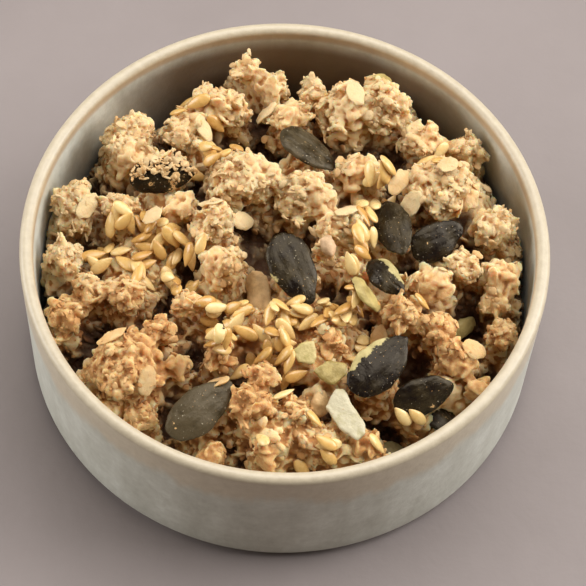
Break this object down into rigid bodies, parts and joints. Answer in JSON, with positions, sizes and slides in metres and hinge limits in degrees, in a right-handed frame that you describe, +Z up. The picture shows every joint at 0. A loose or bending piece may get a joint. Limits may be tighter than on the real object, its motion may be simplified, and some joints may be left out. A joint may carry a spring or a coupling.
{
  "type": "bowl of muesli",
  "caption": "Small straight-sided stoneware bowl heaped with crunchy muesli: baked oat clusters, golden linseed, oat flakes, pumpkin seeds and pale kernel chips.",
  "frame": {"origin": "middle of the bowl's foot, on the surface that the bowl stands on", "axes": "+Z up out of the bowl, -Y to the front of the bowl as it is pictured, +X to its right"},
  "size_m": [0.1, 0.1, 0.0407],
  "materials": {
    "stoneware": "satin pale green-grey glaze, cream over the lip, with a tan edge",
    "baked_oats": "matt golden-brown baked oats with a slight syrup sheen",
    "seed_skin": "satin grey-black seed skin with a fine grain",
    "pale_kernel": "matt pale green-white kernel"
  },
  "bodies": {
    "root": {"bowl": "stoneware", "muesli_heap": "baked_oats", "pumpkin_seed_back_middle": "seed_skin", "pumpkin_seed_back_left_crusted": "seed_skin", "pumpkin_seed_right_of_middle": "seed_skin", "pumpkin_seed_far_right": "seed_skin", "pumpkin_seed_split_right": "seed_skin", "pumpkin_seed_middle": "seed_skin", "pumpkin_seed_lower_left": "seed_skin", "pumpkin_seed_black_front": "seed_skin", "pumpkin_seed_lower_right": "seed_skin", "pumpkin_seed_deep_right": "seed_skin", "kernel_chip_front_white": "pale_kernel", "kernel_chip_middle_green": "pale_kernel", "kernel_chip_middle_olive": "pale_kernel"}
  },
  "joints": []
}
